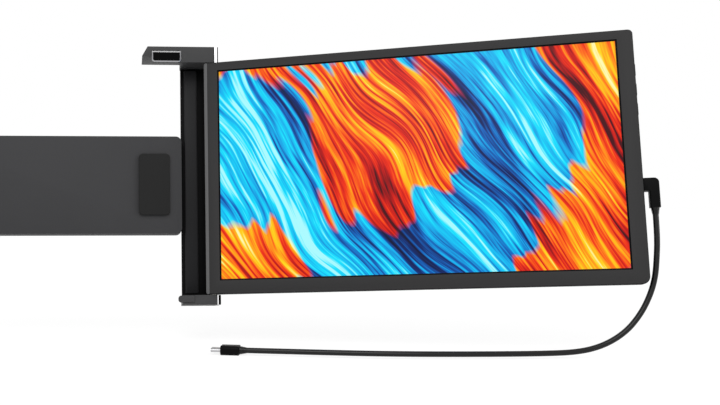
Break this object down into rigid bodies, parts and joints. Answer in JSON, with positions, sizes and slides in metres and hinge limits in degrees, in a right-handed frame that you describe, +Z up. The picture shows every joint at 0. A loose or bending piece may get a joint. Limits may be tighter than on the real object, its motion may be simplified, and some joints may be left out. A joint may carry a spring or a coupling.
{
  "type": "laptop screen extender",
  "caption": "Clamp-on side screen for a laptop: a hooked telescoping back frame with a hinged widescreen display and its lead.",
  "frame": {"origin": "seat of the right-hand hook on the laptop lid's top edge, at the hook's centre", "axes": "+X right along the lid, +Y away from the viewer, +Z up; the frame leans back 8.2 degrees about X as on an open lid"},
  "size_m": [0.623, 0.1339, 0.2094],
  "materials": {
    "graphite_frame": "satin dark grey anodised metal",
    "rib_black": "fine matte black anodised",
    "gloss_black": "polished black",
    "rubber_pad": "matte rubber",
    "housing_grey": "fine moulded texture",
    "cover_grey": "fine moulded texture",
    "display": "matte display surface",
    "light_sheet": "white diffuser",
    "steel": "brushed",
    "circuit_green": "solder mask",
    "nylon": "natural nylon",
    "cable_black": "semi gloss"
  },
  "bodies": {
    "clamp_frame": {"top_bracket": "graphite_frame", "bottom_bracket": "graphite_frame", "hook_lip": "gloss_black", "lower_finger": "graphite_frame", "grip_pads": "rubber_pad", "top_end_cap": "gloss_black", "bottom_end_cap": "gloss_black", "spine_plate": "rib_black", "spine_rib": "rib_black", "bracket_screws": "steel", "hinge_pins": "steel", "hinge_bushes": "nylon", "sleeve_front": "cover_grey", "sleeve_rear": "cover_grey", "sleeve_screws": "steel", "rail_guides": "nylon", "back_pad": "rubber_pad"},
    "left_jaw": {"left_top_bracket": "graphite_frame", "left_bottom_bracket": "graphite_frame", "left_hook_lip": "gloss_black", "left_lower_finger": "graphite_frame", "left_grip_pads": "rubber_pad", "left_spine_plate": "rib_black", "left_bracket_screws": "steel", "upper_rail": "steel", "lower_rail": "steel", "rail_stops": "nylon", "carriage_plate": "cover_grey", "rail_screws": "steel", "left_back_pad": "rubber_pad"},
    "screen": {"angle_plug": "cable_black", "angle_plug_sleeve": "steel", "backlight": "light_sheet", "cord": "cable_black", "cover_screws": "steel", "display_glass": "display", "far_plug": "cable_black", "far_plug_sleeve": "steel", "far_strain_relief": "cable_black", "front_bezel": "housing_grey", "hinge_leaves": "steel", "leaf_screws": "steel", "main_board": "circuit_green", "panel_tray": "steel", "rear_cover": "cover_grey", "spare_usb_port": "steel", "speakers": "gloss_black", "strain_relief": "cable_black", "switch_board": "circuit_green", "usb_port": "steel", "video_port": "steel"},
    "power_button": {"power_button": "housing_grey"},
    "plus_button": {"plus_button": "housing_grey"},
    "minus_button": {"minus_button": "housing_grey"}
  },
  "joints": [
    {"name": "screen_hinge", "type": "hinge", "parent": "clamp_frame", "child": "screen", "pos_m": [0.0322, -0.00158, 0.00023], "axis": [0, -0.1426, -0.9898], "range_deg": [-85, 158]},
    {"name": "jaw_slide", "type": "slide", "parent": "clamp_frame", "child": "left_jaw", "axis": [-1, 0, 0], "range_m": [-0.014, 0.056]},
    {"name": "power_button_press", "type": "slide", "parent": "screen", "child": "power_button", "axis": [-0.95, 0.3091, -0.0445], "range_m": [0, 0.0005], "stiffness_N_per_m": 400},
    {"name": "plus_button_press", "type": "slide", "parent": "screen", "child": "plus_button", "axis": [-0.95, 0.3091, -0.0445], "range_m": [0, 0.0005], "stiffness_N_per_m": 400},
    {"name": "minus_button_press", "type": "slide", "parent": "screen", "child": "minus_button", "axis": [-0.95, 0.3091, -0.0445], "range_m": [0, 0.0005], "stiffness_N_per_m": 400}
  ]
}
